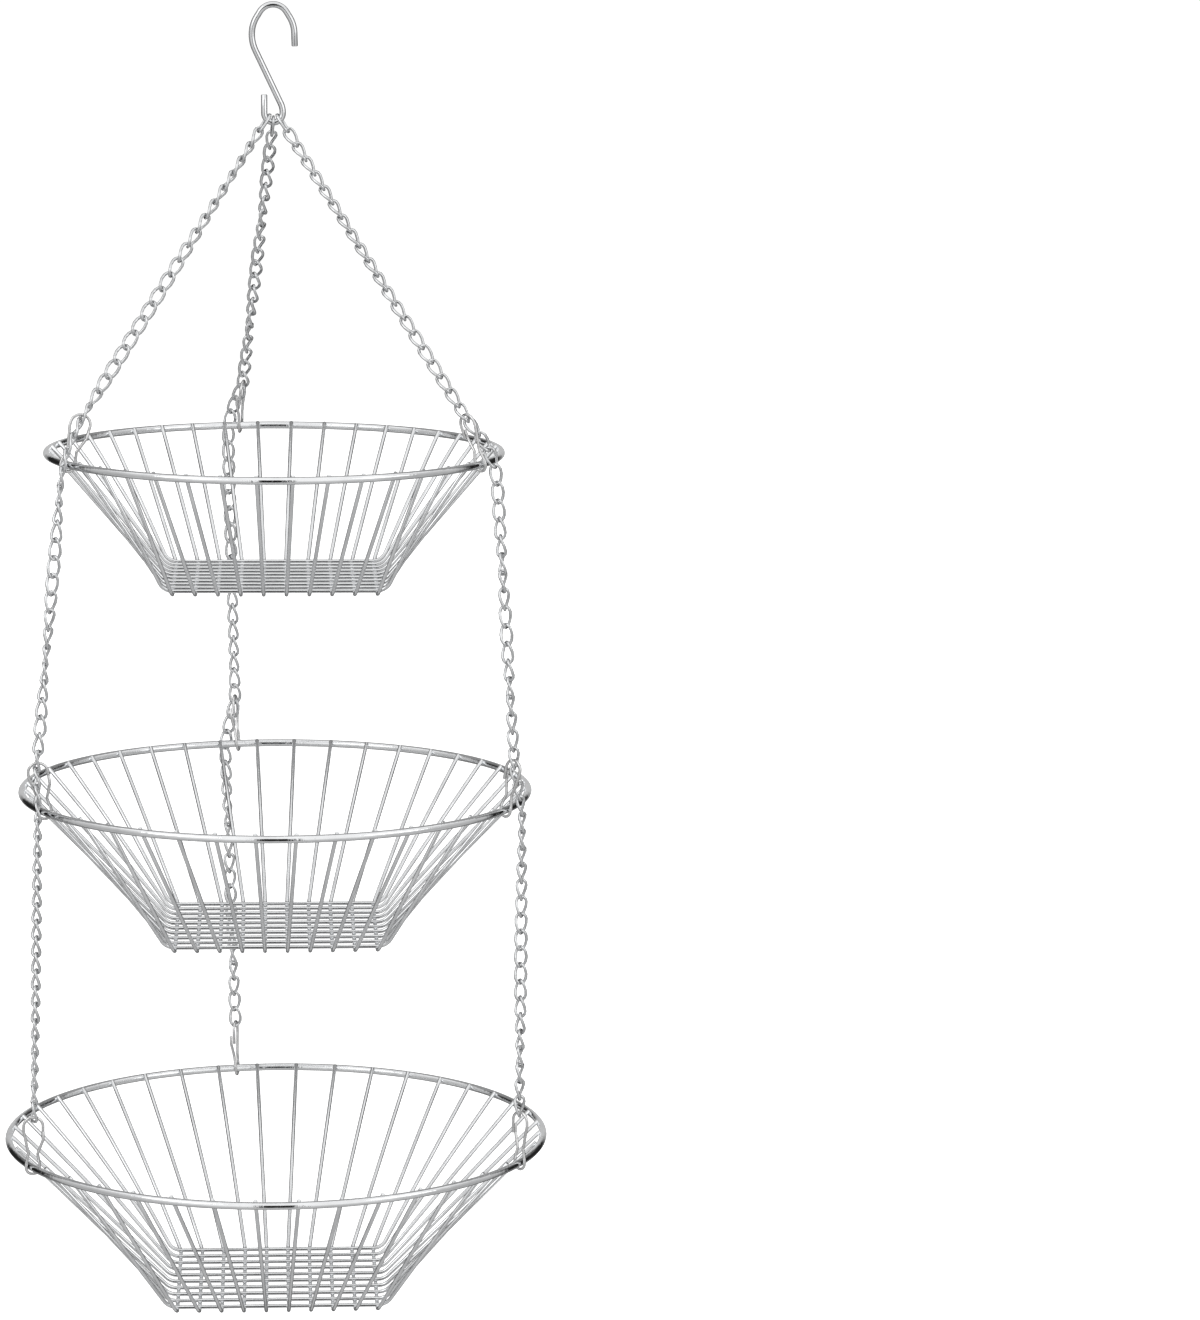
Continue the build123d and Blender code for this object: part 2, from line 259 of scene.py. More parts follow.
class ChainSizes(bpy.types.PropertyGroup):
    """Shape of the links."""

    width: FloatProperty(
        name="Link width", description="Outer width of a twisted link", default=8.2 * MM, **LENGTH
    )
    end_width: FloatProperty(
        name="End link width",
        description="Outer width of the plain links on the hook",
        default=8.3 * MM,
        **LENGTH,
    )
    twist: FloatProperty(
        name="Twist",
        description="Angle that each end of a link is turned from its middle",
        default=math.radians(45),
        subtype="ANGLE",
    )
    fullness: FloatProperty(
        name="Fullness",
        description="How square the link's outline is, from 2 for an ellipse",
        default=2.5,
        min=2,
    )
    end_fullness: FloatProperty(
        name="End link fullness", description="How square the plain links on the hook are", default=3.2, min=2
    )
    around: IntProperty(
        name="Faces round a link", description="Faces round the wire of a link", default=6, min=4
    )
    along: IntProperty(
        name="Steps along a link", description="Steps along the wire of a link", default=16, min=8
    )


class ClipSizes(bpy.types.PropertyGroup):
    """Sizes of the spring clips, to the centre of their wire."""

    reach: FloatProperty(name="Reach", description="From the rim to the arch", default=30 * MM, **LENGTH)
    arch_radius: FloatProperty(
        name="Arch radius", description="Radius of the arch", default=5.6 * MM, **LENGTH
    )
    waist_width: FloatProperty(
        name="Waist width", description="Width above the rim", default=5.2 * MM, **LENGTH
    )
    waist_height: FloatProperty(
        name="Waist height", description="Height of the waist", default=8.5 * MM, **LENGTH
    )
    shoulder_height: FloatProperty(
        name="Shoulder height",
        description="Height at which the clip is fully wide",
        default=22 * MM,
        **LENGTH,
    )
    latch_height: FloatProperty(
        name="Latch height", description="Height of the latch", default=17 * MM, **LENGTH
    )
    latch_lap: FloatProperty(
        name="Latch lap", description="Length of wire past the latch", default=5 * MM, **LENGTH
    )


class PlatingColours(bpy.types.PropertyGroup):
    """Colours and gloss of the plating."""

    bright: FloatVectorProperty(
        name="Bright plating",
        description="Colour of the polished chrome",
        subtype="COLOR",
        default=(0.85, 0.86, 0.87),
    )
    dull: FloatVectorProperty(
        name="Dull plating",
        description="Colour where the plating is thin",
        subtype="COLOR",
        default=(0.50, 0.50, 0.51),
    )
    gloss: FloatProperty(
        name="Roughness",
        description="Roughness of the polished chrome",
        default=0.06,
        min=0,
        max=1,
        subtype="FACTOR",
    )


class StudioSettings(bpy.types.PropertyGroup):
    """Floor, light and camera."""

    floor: FloatVectorProperty(
        name="Floor", description="Colour of the floor and backdrop", subtype="COLOR", default=(0.9, 0.9, 0.9)
    )
    floor_glow: FloatProperty(name="Floor glow", description="Light that the floor gives off", default=0.75)
    floor_drop: FloatProperty(
        name="Floor drop", description="Height of the hook above the floor", default=1.25, unit="LENGTH"
    )
    floor_radius: FloatProperty(
        name="Floor radius", description="Radius of the round floor", default=9.0, unit="LENGTH"
    )
    camera_place: FloatVectorProperty(
        name="Camera place",
        description="Where the camera stands",
        subtype="TRANSLATION",
        default=(-0.0001, -2.81674, 0.09395),
    )
    lens: FloatProperty(name="Lens", description="Focal length of the camera", default=132.76, unit="CAMERA")
    sensor: FloatProperty(
        name="Sensor", description="Width of the camera's sensor", default=36, unit="CAMERA"
    )
    camera_yaw: FloatProperty(
        name="Camera yaw",
        description="Turn of the camera towards +X",
        default=math.radians(3.871),
        subtype="ANGLE",
    )
    camera_pitch: FloatProperty(
        name="Camera pitch",
        description="Downward tilt of the camera",
        default=math.radians(9.519),
        subtype="ANGLE",
    )
    camera_roll: FloatProperty(
        name="Camera roll", description="Roll of the camera", default=math.radians(0.445), subtype="ANGLE"
    )


def heading(angle):
    """The level direction at an angle in plan, in degrees."""
    return Vector((math.cos(math.radians(angle)), math.sin(math.radians(angle)), 0))


def rim_place(tier, wires):
    """Radius and height of a rim's centre line, from its many-sided solid."""
    low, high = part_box(f"{tier}_rim")
    proud = (high.z - low.z - wires.rim) / 2
    return (high.x - low.x - wires.rim) / 2 - proud, ((low + high) / 2).z


# Node trees


def feed(tree, target, socket, source):
    """Gives an input socket a value, or the output of another node."""
    entry = target.inputs[socket]
    if isinstance(source, bpy.types.NodeSocket):
        tree.links.new(source, entry)
    else:
        entry.default_value = source


def node_in(tree, kind, place, inputs=None, **settings):
    """A new node at a column and row, with its settings made and its inputs fed."""
    node = tree.nodes.new(kind)
    node.location = (place[0] * 200, place[1] * -180)
    for key, value in settings.items():
        setattr(node, key, value)
    for socket, source in (inputs or {}).items():
        feed(tree, node, socket, source)
    return node


def geometry_tree(name, sizes):
    """A geometry tree with a geometry in and out, and its named inputs. Also gives what comes in."""
    tree = bpy.data.node_groups.new(name, "GeometryNodeTree")
    tree.interface.new_socket("Geometry", in_out="INPUT", socket_type="NodeSocketGeometry")
    for size, kind, value in sizes:
        socket = tree.interface.new_socket(size, in_out="INPUT", socket_type=f"NodeSocket{kind}")
        if value is not None:
            socket.default_value = value
    tree.interface.new_socket("Geometry", in_out="OUTPUT", socket_type="NodeSocketGeometry")
    return tree, node_in(tree, "NodeGroupInput", (0, 0)).outputs


def close_tree(tree, given, geometry, column):
    """Ends a geometry tree with smooth shading, real instances and the material."""
    smooth = node_in(tree, "GeometryNodeSetShadeSmooth", (column, 0), {"Geometry": geometry})
    real = node_in(
        tree, "GeometryNodeRealizeInstances", (column + 1, 0), {"Geometry": smooth.outputs["Geometry"]}
    )
    painted = {"Geometry": real.outputs["Geometry"], "Material": given["Material"]}
    paint = node_in(tree, "GeometryNodeSetMaterial", (column + 2, 0), painted)
    node_in(tree, "NodeGroupOutput", (column + 3, 0), {"Geometry": paint.outputs["Geometry"]})


def attribute(tree, place, name, kind="FLOAT"):
    """The output of a node that reads a named attribute."""
    node = node_in(tree, "GeometryNodeInputNamedAttribute", place, {"Name": name}, data_type=kind)
    return node.outputs["Attribute"]


def math_of(tree, place, operation, *values):
    """The output of a math node."""
    return node_in(tree, "ShaderNodeMath", place, dict(enumerate(values)), operation=operation).outputs[0]


def power_of(tree, place, value, exponent):
    """A signed power: it keeps the sign of the value."""
    column, row = place
    raised = math_of(tree, (column + 1, row), "POWER", math_of(tree, place, "ABSOLUTE", value), exponent)
    sign = math_of(tree, (column + 1, row + 1), "SIGN", value)
    return math_of(tree, (column + 2, row), "MULTIPLY", raised, sign)


def circle_of(tree, place, steps, radius):
    """A circle, as a curve."""
    inputs = {"Resolution": steps, "Radius": radius}
    return node_in(tree, "GeometryNodeCurvePrimitiveCircle", place, inputs, mode="RADIUS").outputs["Curve"]


def copies_on(tree, place, points, piece, scale):
    """The piece on every point, stretched, and turned by the point's own turn."""
    column, row = place
    turn = attribute(tree, (column - 2, row + 1), "turn", "FLOAT_VECTOR")
    turned = node_in(tree, "FunctionNodeEulerToRotation", (column - 1, row + 1), {"Euler": turn})
    stretched = node_in(tree, "ShaderNodeCombineXYZ", (column - 1, row + 2), dict(zip("XYZ", scale)))
    copied = {
        "Points": points,
        "Instance": piece,
        "Rotation": turned.outputs[0],
        "Scale": stretched.outputs[0],
    }
    return node_in(tree, "GeometryNodeInstanceOnPoints", place, copied).outputs["Instances"]


def bent_wire_tree():
    """Round wire along edges: each point is bent to its own radius, and thinned by its own share."""
    tree, given = geometry_tree(
        "Bent wire",
        (
            ("Wire", "Float", 2 * MM),
            ("Faces round", "Int", 12),
            ("Bend steps", "Int", 8),
            ("Material", "Material", None),
        ),
    )
    line = node_in(tree, "GeometryNodeMeshToCurve", (1, 0), {"Mesh": given["Geometry"]})
    bent = {
        "Curve": line.outputs["Curve"],
        "Count": given["Bend steps"],
        "Radius": attribute(tree, (1, 1), "bend"),
        "Limit Radius": True,
    }
    bend = node_in(tree, "GeometryNodeFilletCurve", (2, 0), bent, mode="POLY")
    radius = math_of(tree, (2, 2), "MULTIPLY", given["Wire"], 0.5)
    swept = {
        "Curve": bend.outputs["Curve"],
        "Profile Curve": circle_of(tree, (3, 2), given["Faces round"], radius),
        "Scale": attribute(tree, (3, 3), "thickness"),
        "Fill Caps": True,
    }
    skin = node_in(tree, "GeometryNodeCurveToMesh", (4, 0), swept)
    close_tree(tree, given, skin.outputs["Mesh"], 5)
    return tree


def link_tree():
    """One link on each point: an oval of wire whose ends are twisted against each other."""
    tree, given = geometry_tree(
        "Twisted links",
        (
            ("Wire", "Float", 1.8 * MM),
            ("Width", "Float", 8 * MM),
            ("Twist", "Float", 0.8),
            ("Fullness", "Float", 2.5),
            ("Faces round", "Int", 6),
            ("Steps along", "Int", 16),
            ("Material", "Material", None),
        ),
    )
    ring = circle_of(tree, (1, 1), given["Steps along"], 1.0)
    place = node_in(tree, "GeometryNodeInputPosition", (1, 4)).outputs[0]
    split = node_in(tree, "ShaderNodeSeparateXYZ", (2, 4), {0: place}).outputs
    exponent = math_of(tree, (2, 6), "DIVIDE", 2.0, given["Fullness"])
    side = power_of(tree, (3, 4), split["X"], exponent)
    rise = power_of(tree, (3, 7), split["Y"], exponent)
    inner = math_of(tree, (4, 10), "SUBTRACT", given["Width"], given["Wire"])
    half_width = math_of(tree, (5, 10), "MULTIPLY", inner, 0.5)
    reach = math_of(tree, (6, 4), "MULTIPLY", side, half_width)
    flat = node_in(tree, "ShaderNodeCombineXYZ", (7, 4), {"X": reach, "Z": rise})
    angle = math_of(tree, (6, 9), "MULTIPLY", rise, given["Twist"])
    turned = {"Vector": flat.outputs[0], "Angle": math_of(tree, (7, 9), "MULTIPLY", angle, -1.0)}
    twisted = node_in(tree, "ShaderNodeVectorRotate", (8, 4), turned, rotation_type="Z_AXIS")
    shaped = node_in(
        tree, "GeometryNodeSetPosition", (9, 4), {"Geometry": ring, "Position": twisted.outputs[0]}
    )
    stretch = (1.0, 1.0, attribute(tree, (8, 3), "half_length"))
    copies = copies_on(tree, (10, 0), given["Geometry"], shaped.outputs["Geometry"], stretch)
    laid = node_in(tree, "GeometryNodeRealizeInstances", (11, 0), {"Geometry": copies})
    radius = math_of(tree, (10, 4), "MULTIPLY", given["Wire"], 0.5)
    section = circle_of(tree, (11, 4), given["Faces round"], radius)
    swept = {"Curve": laid.outputs["Geometry"], "Profile Curve": section}
    skin = node_in(tree, "GeometryNodeCurveToMesh", (12, 0), swept)
    close_tree(tree, given, skin.outputs["Mesh"], 13)
    return tree


def bead_tree():
    """A flattened bead of weld on each point, turned along its own direction."""
    tree, given = geometry_tree(
        "Weld beads", (("Width", "Float", 2 * MM), ("Flatness", "Float", 0.5), ("Material", "Material", None))
    )
    radius = math_of(tree, (1, 4), "MULTIPLY", given["Width"], 0.5)
    ball = node_in(tree, "GeometryNodeMeshIcoSphere", (2, 4), {"Radius": radius, "Subdivisions": 2})
    copies = copies_on(tree, (3, 0), given["Geometry"], ball.outputs["Mesh"], (1.0, given["Flatness"], 1.0))
    close_tree(tree, given, copies, 4)
    return tree


def tree_named(name, make):
    """The node tree of that name, made the first time it is asked for."""
    return bpy.data.node_groups.get(name) or make()


def baked(name, mesh, tree, values):
    """A plain mesh object: the tree's result on a mesh, with its inputs set by name."""
    carrier = bpy.data.objects.new(name + "_path", mesh)
    bpy.context.scene.collection.objects.link(carrier)
    modifier = carrier.modifiers.new(tree.name, "NODES")
    modifier.node_group = tree
    for item in tree.interface.items_tree:
        if item.item_type == "SOCKET" and item.in_out == "INPUT" and item.name in values:
            modifier[item.identifier] = values[item.name]
    bpy.context.view_layer.update()
    graph = bpy.context.evaluated_depsgraph_get()
    made = bpy.data.meshes.new_from_object(carrier.evaluated_get(graph), depsgraph=graph)
    carrier.modifiers.remove(modifier)
    bpy.data.objects.remove(carrier)
    made.name = name
    if not made.polygons:
        raise RuntimeError(f"{name} came out empty")
    outward(made)
    piece = bpy.data.objects.new(name, made)
    bpy.context.scene.collection.objects.link(piece)
    return piece


def outward(mesh):
    """Turns every face of a closed mesh outwards."""
    shell = bmesh.new()
    shell.from_mesh(mesh)
    bmesh.ops.recalc_face_normals(shell, faces=shell.faces)
    shell.to_mesh(mesh)
    shell.free()


def path_mesh(name, paths, closed=False):
    """Edges along paths of (point, bend radius, thickness share), for the bent wire tree."""
    stops, edges = [], []
    for path in paths:
        first = len(stops)
        stops += path
        last = len(stops) - 1
        edges += [(i, i + 1) for i in range(first, last)]
        if closed:
            edges.append((last, first))
    points, bends, shares = zip(*stops)
    mesh = bpy.data.meshes.new(name)
    mesh.from_pydata([tuple(point) for point in points], edges, [])
    for label, values in (("bend", bends), ("thickness", shares)):
        mesh.attributes.new(label, "FLOAT", "POINT").data.foreach_set("value", values)
    return mesh


def cut_wire(corners, bends, chamfer):
    """A path whose two ends are cut off with a small chamfer."""
    start = (corners[0] - corners[1]).normalized()
    end = (corners[-1] - corners[-2]).normalized()
    path = [(corners[0], 0, CUT_END_SHARE), (corners[0] - start * chamfer, 0, 1)]
    path += [(corner, bend, 1) for corner, bend in zip(corners[1:-1], bends)]
    path += [(corners[-1] - end * chamfer, 0, 1), (corners[-1], 0, CUT_END_SHARE)]
    return path


def wire_piece(name, paths, wire, material, closed=False):
    """A piece of round wire along paths."""
    wires = bpy.context.scene.basket_wires
    values = {"Wire": wire, "Faces round": wires.around, "Bend steps": wires.bend_steps, "Material": material}
    return baked(name, path_mesh(name, paths, closed), tree_named("Bent wire", bent_wire_tree), values)


def settle(piece, body, slot, *nodes):
    """Puts a finished piece on its body, in place of the nodes it stands for."""
    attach(piece, body)
    if nodes:
        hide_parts(*nodes)


# Materials


def shader_group(name, inputs, outputs):
    """A shader group with its named inputs and outputs. Also gives what comes in, and its end node."""
    tree = bpy.data.node_groups.new(name, "ShaderNodeTree")
    for label, kind, value in inputs:
        socket = tree.interface.new_socket(label, in_out="INPUT", socket_type=f"NodeSocket{kind}")
        socket.default_value = value
    for label, kind in outputs:
        tree.interface.new_socket(label, in_out="OUTPUT", socket_type=f"NodeSocket{kind}")
    return tree, node_in(tree, "NodeGroupInput", (0, 0)).outputs, node_in(tree, "NodeGroupOutput", (8, 0))


def noise_of(tree, place, scale, detail):
    """The value of a noise over the piece's own coordinates."""
    column, row = place
    point = node_in(tree, "ShaderNodeTexCoord", (column - 1, row)).outputs["Object"]
    inputs = {"Vector": point, "Scale": scale, "Detail": detail}
    return node_in(tree, "ShaderNodeTexNoise", place, inputs).outputs["Fac"]


def ranged(tree, place, value, low, high, out_low=0.0, out_high=1.0):
    """A value moved from one range to another and kept inside it."""
    inputs = {"Value": value, "From Min": low, "From Max": high, "To Min": out_low, "To Max": out_high}
    return node_in(tree, "ShaderNodeMapRange", place, inputs, clamp=True).outputs["Result"]


def plating_group():
    """Plating: colour, roughness and height that vary in soft clouds, with fine dull specks."""
    tree, given, leave = shader_group(
        "Plating",
        (
            ("Bright", "Color", (0.7, 0.7, 0.7, 1)),
            ("Dull", "Color", (0.4, 0.4, 0.4, 1)),
            ("Cloud scale", "Float", 60.0),
            ("Speck scale", "Float", 900.0),
            ("Speck share", "Float", 0.3),
            ("Roughness", "Float", 0.12),
        ),
        (("Color", "Color"), ("Roughness", "Float"), ("Height", "Float")),
    )
    cloud = noise_of(tree, (1, 1), given["Cloud scale"], 3.0)
    speck = noise_of(tree, (1, 3), given["Speck scale"], 4.0)
    spots = math_of(tree, (3, 3), "MULTIPLY", ranged(tree, (2, 3), speck, *SPECK_NOISE), given["Speck share"])
    haze = ranged(tree, (2, 1), cloud, *HAZE_NOISE, 0.0, HAZE_SHARE)
    wear = math_of(tree, (4, 2), "MAXIMUM", spots, haze)
    # The colours' sockets go by number, because those for numbers and vectors have the same names
    mixed = {"Factor": wear, 6: given["Bright"], 7: given["Dull"]}
    tint = node_in(tree, "ShaderNodeMix", (5, 0), mixed, data_type="RGBA")
    feed(tree, leave, "Color", tint.outputs[2])
    rough = math_of(tree, (5, 2), "MULTIPLY_ADD", wear, WEAR_ROUGHNESS, given["Roughness"])
    feed(tree, leave, "Roughness", rough)
    feed(tree, leave, "Height", math_of(tree, (6, 3), "MULTIPLY", cloud, CLOUD_HEIGHT))
    return tree


def drawn_wire_group():
    """Faint pits of drawn wire in patches, as a height."""
    tree, given, leave = shader_group(
        "Drawn wire",
        (("Pit scale", "Float", 1500.0), ("Patch scale", "Float", 220.0), ("Depth", "Float", 0.4)),
        (("Height", "Float"),),
    )
    fine = noise_of(tree, (1, 0), given["Pit scale"], 5.0)
    patches = ranged(tree, (2, 2), noise_of(tree, (1, 2), given["Patch scale"], 2.0), *PATCH_NOISE)
    marks = math_of(tree, (3, 0), "MULTIPLY", fine, patches)
    feed(tree, leave, "Height", math_of(tree, (4, 0), "MULTIPLY", marks, given["Depth"]))
    return tree


def plated(name, tone=1.0, roughness=0.0, speck_share=0.3, ripple=0.4 * MM, cloud_scale=60.0, warmth=0.0):
    """A chromed finish: polished, a little cloudy, with specks and a faint ripple."""
    colours = bpy.context.scene.basket_plating
    tint = Vector((1 + warmth, 1, 1 - warmth)) * tone
    material = bpy.data.materials.new(name)
    material.use_nodes = True
    tree = material.node_tree
    finish = {
        "Bright": (*(Vector(colours.bright) * tint), 1),
        "Dull": (*(Vector(colours.dull) * tint), 1),
        "Cloud scale": cloud_scale,
        "Speck share": speck_share,
        "Roughness": colours.gloss + roughness,
    }
    group = tree_named("Plating", plating_group)
    plating = node_in(tree, "ShaderNodeGroup", (-5, 0), finish, node_tree=group)
    group = tree_named("Drawn wire", drawn_wire_group)
    drawn = node_in(tree, "ShaderNodeGroup", (-5, 2), node_tree=group)
    height = math_of(tree, (-4, 2), "ADD", plating.outputs["Height"], drawn.outputs["Height"])
    rippled = {"Height": height, "Distance": ripple, "Strength": RIPPLE_STRENGTH}
    bump = node_in(tree, "ShaderNodeBump", (-3, 2), rippled)
    shader = tree.nodes["Principled BSDF"]
    feed(tree, shader, "Metallic", 1.0)
    feed(tree, shader, "Base Color", plating.outputs["Color"])
    feed(tree, shader, "Roughness", plating.outputs["Roughness"])
    feed(tree, shader, "Normal", bump.outputs["Normal"])
    return material


# Paths, by the same rules as the solids


def wire_end(radius, height, angle, corner, wires):
    """Where a wire that rises from a floor corner ends, just inside and above the rim."""
    rim = heading(angle) * radius + UP * height
    along_rim = heading(angle + 90)
    seat = (wires.rim + wires.basket) / 2 - WELD_DEPTH
    end = rim
    # The wire's rise and its seat on the rim follow from each other: three rounds settle both
    for _ in range(3):
        rise = (end - corner).normalized()
        out = rise.cross(along_rim)
        if out.z < 0:
            out = -out
        end = rim + out.normalized() * seat
    return end, rise, rim


def basket_paths(tier, turn, lowered):
    """Corners of the parallel wires of one direction, and where each end is welded to the rim."""
    wires = bpy.context.scene.basket_wires
    sizes = bpy.context.scene.basket_sizes
    radius, height = rim_place(tier, wires)
    level = height - TIER_DEPTHS[tier] - lowered
    reach = sizes.floor_pitch * (WIRES_EACH_WAY - 1) / 2 + FLOOR_RUN_PAST
    step = 90 / WIRES_EACH_WAY
    turned = Matrix.Rotation(math.radians(turn), 3, "Z")
    paths, welds = [], []
    for k in range(WIRES_EACH_WAY):
        place = k - (WIRES_EACH_WAY - 1) / 2
        corners = []
        for side, angle in ((1, turn + place * step), (-1, turn + 180 - place * step)):
            corner = turned @ Vector((side * reach, place * sizes.floor_pitch, level))
            end, rise, rim = wire_end(radius, height, angle, corner, wires)
            ends = [end + rise * WIRE_END_PAST_RIM, corner]
            corners += ends if side > 0 else ends[::-1]
            welds.append((rim + (end - rim) * BEAD_PLACE, (end - rim).normalized(), rise))
        paths.append(cut_wire(corners, [sizes.floor_bend] * 2, WIRE_CHAMFER))
    return paths, welds


def point_mesh(name, places, turns, half_lengths=None):
    """Points for a tree that puts a piece on each, with each piece's turn and half length."""
    mesh = bpy.data.meshes.new(name)
    mesh.from_pydata([tuple(place) for place in places], [], [])
    angles = [angle for turn in turns for angle in turn.to_euler("XYZ")]
    mesh.attributes.new("turn", "FLOAT_VECTOR", "POINT").data.foreach_set("vector", angles)
    if half_lengths:
        mesh.attributes.new("half_length", "FLOAT", "POINT").data.foreach_set("value", half_lengths)
    return mesh


def frame_of(x, y, z):
    """The turn that takes the axes to three square directions."""
    return Matrix((x, y, z)).transposed()


def hook_foot():
    """Radius of the hook's foot, its centre, and how far a link's wire sits inside the hook's."""
    wires = bpy.context.scene.basket_wires
    seat_reach = wires.hook / 2 + SEAT_GAP + wires.chain / 2
    spread = math.radians(abs(SEAT_TURNS["left"]))
    radius = (wires.chain + LINK_GAP + seat_reach * SEAT_PULL_SHARE) / math.sin(spread)
    return radius, UP * (radius - bpy.context.scene.basket_hook.foot_drop), seat_reach


def hook_seat(side, rim):
    """Where a span's first link sits on the hook's foot, when it is pulled towards a rim point."""
    foot_radius, foot_centre, seat_reach = hook_foot()
    turn = math.radians(SEAT_TURNS[side])
    run = Vector((math.cos(turn), 0, math.sin(turn)))
    middle = foot_centre + Vector((math.sin(turn), 0, -math.cos(turn))) * foot_radius
    pull = rim - middle
    pull = (pull - run * pull.dot(run)).normalized()
    return middle - pull * seat_reach


def clip_frames(side):
    """For each tier: the rim point, the clip's long axis, its width direction and its length."""
    wires = bpy.context.scene.basket_wires
    clip = bpy.context.scene.basket_clips
    angle = CHAIN_ANGLES[side]
    out = heading(angle)
    rims = []
    for tier in TIERS:
        radius, height = rim_place(tier, wires)
        rims.append(out * radius + UP * height)
    found = []
    source = hook_seat(side, rims[0])
    for rim in rims:
        drop = (rim - source).normalized()
        past = (out - drop * drop.dot(out)).normalized() * CHAIN_PAST_RIM
        last = rim is rims[-1]
        passing = rim if last else rim + past
        back = (source - passing).normalized()
        offset = 0 if last else CHAIN_PAST_RIM
        arch = passing + back * math.sqrt(clip.reach**2 - offset**2)
        axis = (arch - rim).normalized()
        width = heading(angle + CLIP_TURN)
        width = (width - axis * axis.dot(width)).normalized()
        found.append((rim, axis, width, (arch - rim).length))
        source = passing + heading(angle + 90) * CHAIN_BESIDE_CLIP
    return found


def clip_path(rim, axis, width, reach):
    """Corners and bends of one clip: round the rim, up both sides and over, lapped at the latch."""
    wires = bpy.context.scene.basket_wires
    clip = bpy.context.scene.basket_clips
    lean = math.radians(abs(CLIP_TURN))
    grip = wires.rim / 2 / math.cos(lean) + CLIP_GRIP_GAP + wires.clip / 2 * (1 + math.sin(lean))
    waist = clip.waist_width / 2
    beside = axis.cross(width)
    lap = wires.clip + CLIP_GAP
    wide = clip.arch_radius
    corners = [
        (-wide, clip.latch_height + clip.latch_lap, lap),
        (-wide, clip.latch_height, lap),
        (-waist, clip.waist_height, lap / 2),
        (-grip, grip / 2, 0),
        (-grip, -grip, 0),
        (grip, -grip, 0),
        (grip, grip / 2, 0),
        (waist, clip.waist_height, 0),
        (wide, clip.shoulder_height, 0),
        (wide, reach, 0),
        (-wide, reach, 0),
        (-wide, clip.latch_height, 0),
    ]
    small = grip / 2
    bends = [small, small, small, grip, grip, small, small, small * 2, wide, wide]
    points = [rim + width * u + axis * v + beside * w for u, v, w in corners]
    return cut_wire(points, bends, CLIP_CHAMFER)


def islands(node):
    """The separate solids of a CAD node, each as an array of its corner points."""
    copy = bmesh.new()
    copy.from_mesh(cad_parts[node].data)
    bmesh.ops.remove_doubles(copy, verts=copy.verts, dist=1e-6)
    seen = set()
    found = []
    for start in copy.verts:
        if start in seen:
            continue
        seen.add(start)
        group = [start]
        for vert in group:
            for edge in vert.link_edges:
                other = edge.other_vert(vert)
                if other not in seen:
                    seen.add(other)
                    group.append(other)
        found.append(np.array([vert.co for vert in group], float))
    copy.free()
    return found


def between(stops, share):
    """The angle that a list of stops gives at one share of a span, in radians."""
    shares, degrees = zip(*stops)
    return math.radians(np.interp(share, shares, degrees))


def link_frame(points):
    """Centre, turn and length of one link of a chain, from the corners of its solid."""
    middle = points.mean(0)
    _, directions = np.linalg.eigh(np.cov((points - middle).T))
    along, across = Vector(directions[:, 2]), Vector(directions[:, 1])
    if along.z < 0:
        along = -along
    length = np.ptp((points - middle) @ np.array(along))
    return Vector(middle), frame_of(across, along.cross(across), along), length


def wound_links(node):
    """Place, turn and length of each link of a span: the twisted ones, and the plain one on the hook."""
    solids = islands(node)
    frames = [link_frame(points) for points in solids]
    heights = [place.z for place, _, _ in frames]
    top, drop = max(heights), max(heights) - min(heights)
    found = {"links": [], "hook_link": []}
    for points, (place, turn, length) in zip(solids, frames):
        wind = Matrix.Rotation(-between(SPAN_TURNS[node], (top - place.z) / drop), 3, "Z")
        label = "links" if len(points) <= TWISTED_LINK_CORNERS else "hook_link"
        found[label].append((place, turn @ wind, length))
    return {label: links for label, links in found.items() if links}


class OBJECT_OT_basket_rims(bpy.types.Operator):
    """Make the three round rims"""

    bl_idname = "object.basket_rims"
    bl_label = "Rims"

    def execute(self, context):
        wires = context.scene.basket_wires
        finish = plated("rim_plating", tone=1.08, roughness=-0.03, speck_share=0.15, ripple=0.6 * MM)
        headings = [heading(360 * step / wires.rim_steps) for step in range(wires.rim_steps)]
        for tier in TIERS:
            radius, height = rim_place(tier, wires)
            ring = [(way * radius + UP * height, 0, 1) for way in headings]
            rim = wire_piece(f"{tier}_round_rim", [ring], wires.rim, finish, closed=True)
            settle(rim, TIER_BODIES[tier], "rims", f"{tier}_rim")
        return {"FINISHED"}


class OBJECT_OT_basket_wires(bpy.types.Operator):
    """Make the crossed wires of the three baskets and their welds to the rims"""

    bl_idname = "object.basket_wires"
    bl_label = "Basket wires"

    def execute(self, context):
        wires = context.scene.basket_wires
        sizes = context.scene.basket_sizes
        finish = plated("wire_plating")
        weld = plated(
            "weld_plating", tone=0.9, roughness=0.12, speck_share=0.6, ripple=0.8 * MM, cloud_scale=300.0
        )
        for tier in TIERS:
            beads = []
            for name, turn, lowered in (("crosswise", 0, 0), ("lengthwise", 90, wires.basket - WELD_DEPTH)):
                paths, welds = basket_paths(tier, turn, lowered)
                piece = wire_piece(f"{tier}_{name}_round_wires", paths, wires.basket, finish)
                settle(piece, TIER_BODIES[tier], "basket_wires", f"{tier}_{name}_wires")
                beads += welds
            places = [place for place, _, _ in beads]
            turns = [frame_of(out.cross(rise), out, rise) for _, out, rise in beads]
            mesh = point_mesh(f"{tier}_beads", places, turns)
            values = {"Width": sizes.bead_width, "Flatness": sizes.bead_flatness, "Material": weld}
            piece = baked(f"{tier}_weld_beads", mesh, tree_named("Weld beads", bead_tree), values)
            settle(piece, TIER_BODIES[tier], "basket_wires")
        return {"FINISHED"}


